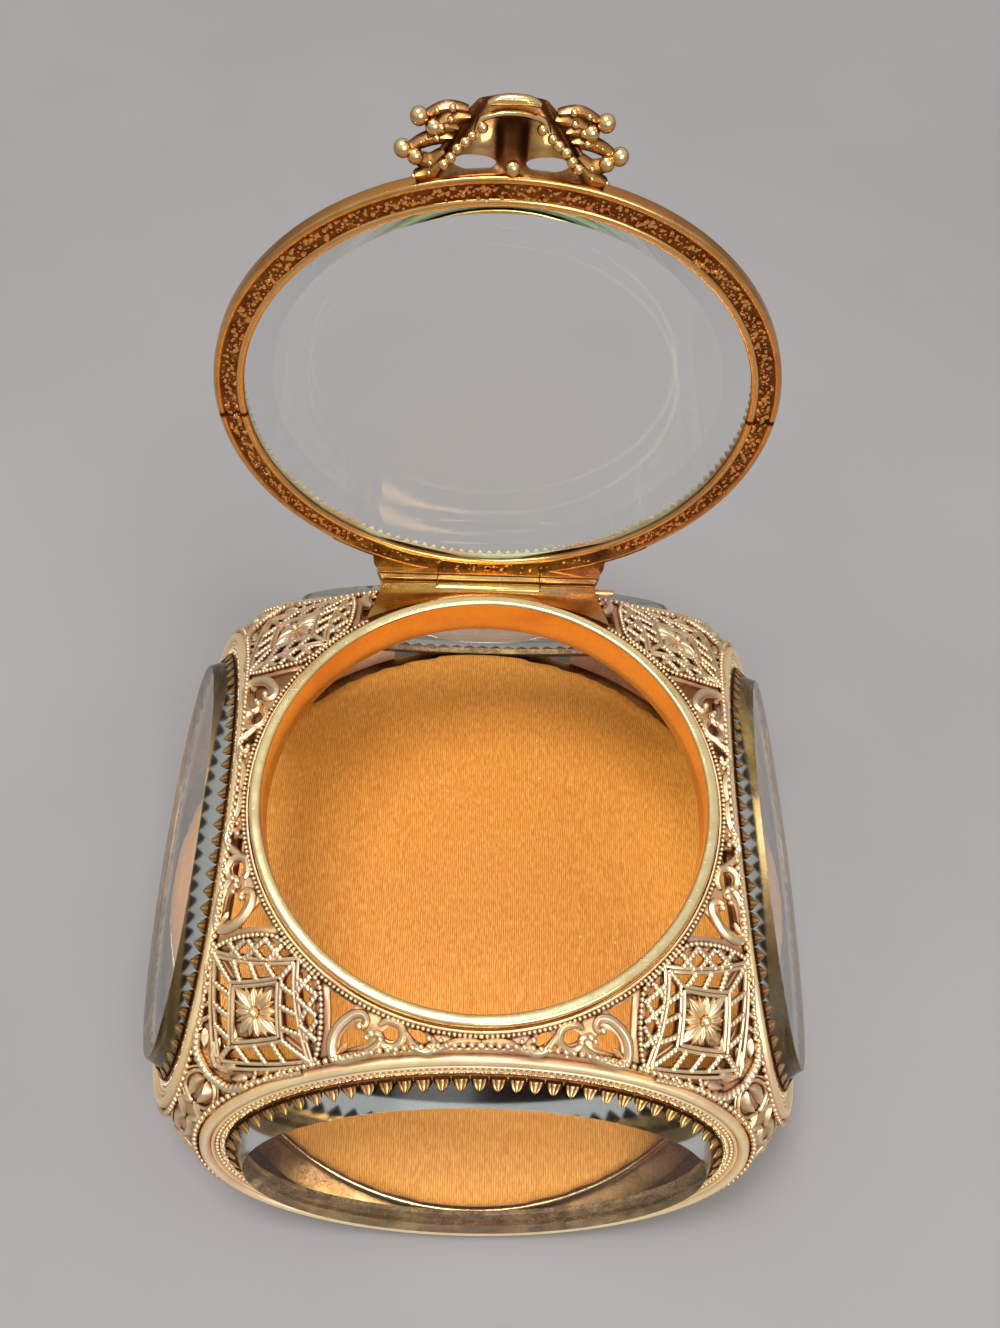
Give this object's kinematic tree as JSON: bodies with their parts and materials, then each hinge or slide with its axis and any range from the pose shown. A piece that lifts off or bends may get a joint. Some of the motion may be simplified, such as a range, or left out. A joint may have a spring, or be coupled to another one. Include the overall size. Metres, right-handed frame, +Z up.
{
  "type": "glass casket box",
  "caption": "Small gilt filigree casket with bevelled oval side panes, a round hinged glass lid with a thumb tab, and a satin pad inside.",
  "frame": {"origin": "centre of the base, on the surface the box stands on", "axes": "+Z up, front and thumb-tab side of the closed lid towards -Y, hinge at +Y, +X to the right seen from the front"},
  "size_m": [0.1024, 0.1024, 0.1212],
  "materials": {
    "gilt_filigree": "aged gilt, stamped filigree, dark in its recesses",
    "gilt_polished": "polished gilt with soft scratches",
    "gilt_gallery": "aged gilt, crimped teeth",
    "gilt_base": "aged gilt sheet",
    "bevelled_glass": "clear, ground and polished bevel, faint green edge",
    "satin_pad": "ribbed satin, orange gold",
    "pad_card": "plain card"
  },
  "bodies": {
    "box": {"base_pan": "gilt_base", "pad_board": "pad_card", "pad_cushion": "satin_pad", "corner_panel_front_right": "gilt_filigree", "corner_panel_back_right": "gilt_filigree", "corner_panel_back_left": "gilt_filigree", "corner_panel_front_left": "gilt_filigree", "window_frame_front": "gilt_polished", "window_gallery_front": "gilt_gallery", "window_glass_front": "bevelled_glass", "window_frame_right": "gilt_polished", "window_gallery_right": "gilt_gallery", "window_glass_right": "bevelled_glass", "window_frame_back": "gilt_polished", "window_gallery_back": "gilt_gallery", "window_glass_back": "bevelled_glass", "window_frame_left": "gilt_polished", "window_gallery_left": "gilt_gallery", "window_glass_left": "bevelled_glass", "rim_collar": "gilt_polished", "rim_bead_wire": "gilt_filigree", "hinge_leaf_body": "gilt_polished", "hinge_pin": "gilt_polished"},
    "lid": {"hinge_leaf_lid": "gilt_polished", "lid_frame": "gilt_polished", "lid_gallery": "gilt_gallery", "lid_glass": "bevelled_glass", "thumb_tab": "gilt_filigree", "tab_finials": "gilt_polished"}
  },
  "joints": [
    {"name": "lid_hinge", "type": "hinge", "parent": "box", "child": "lid", "pos_m": [0, 0.0351, 0.04254], "axis": [1, 0, 0], "range_deg": [0, 90.5]}
  ]
}
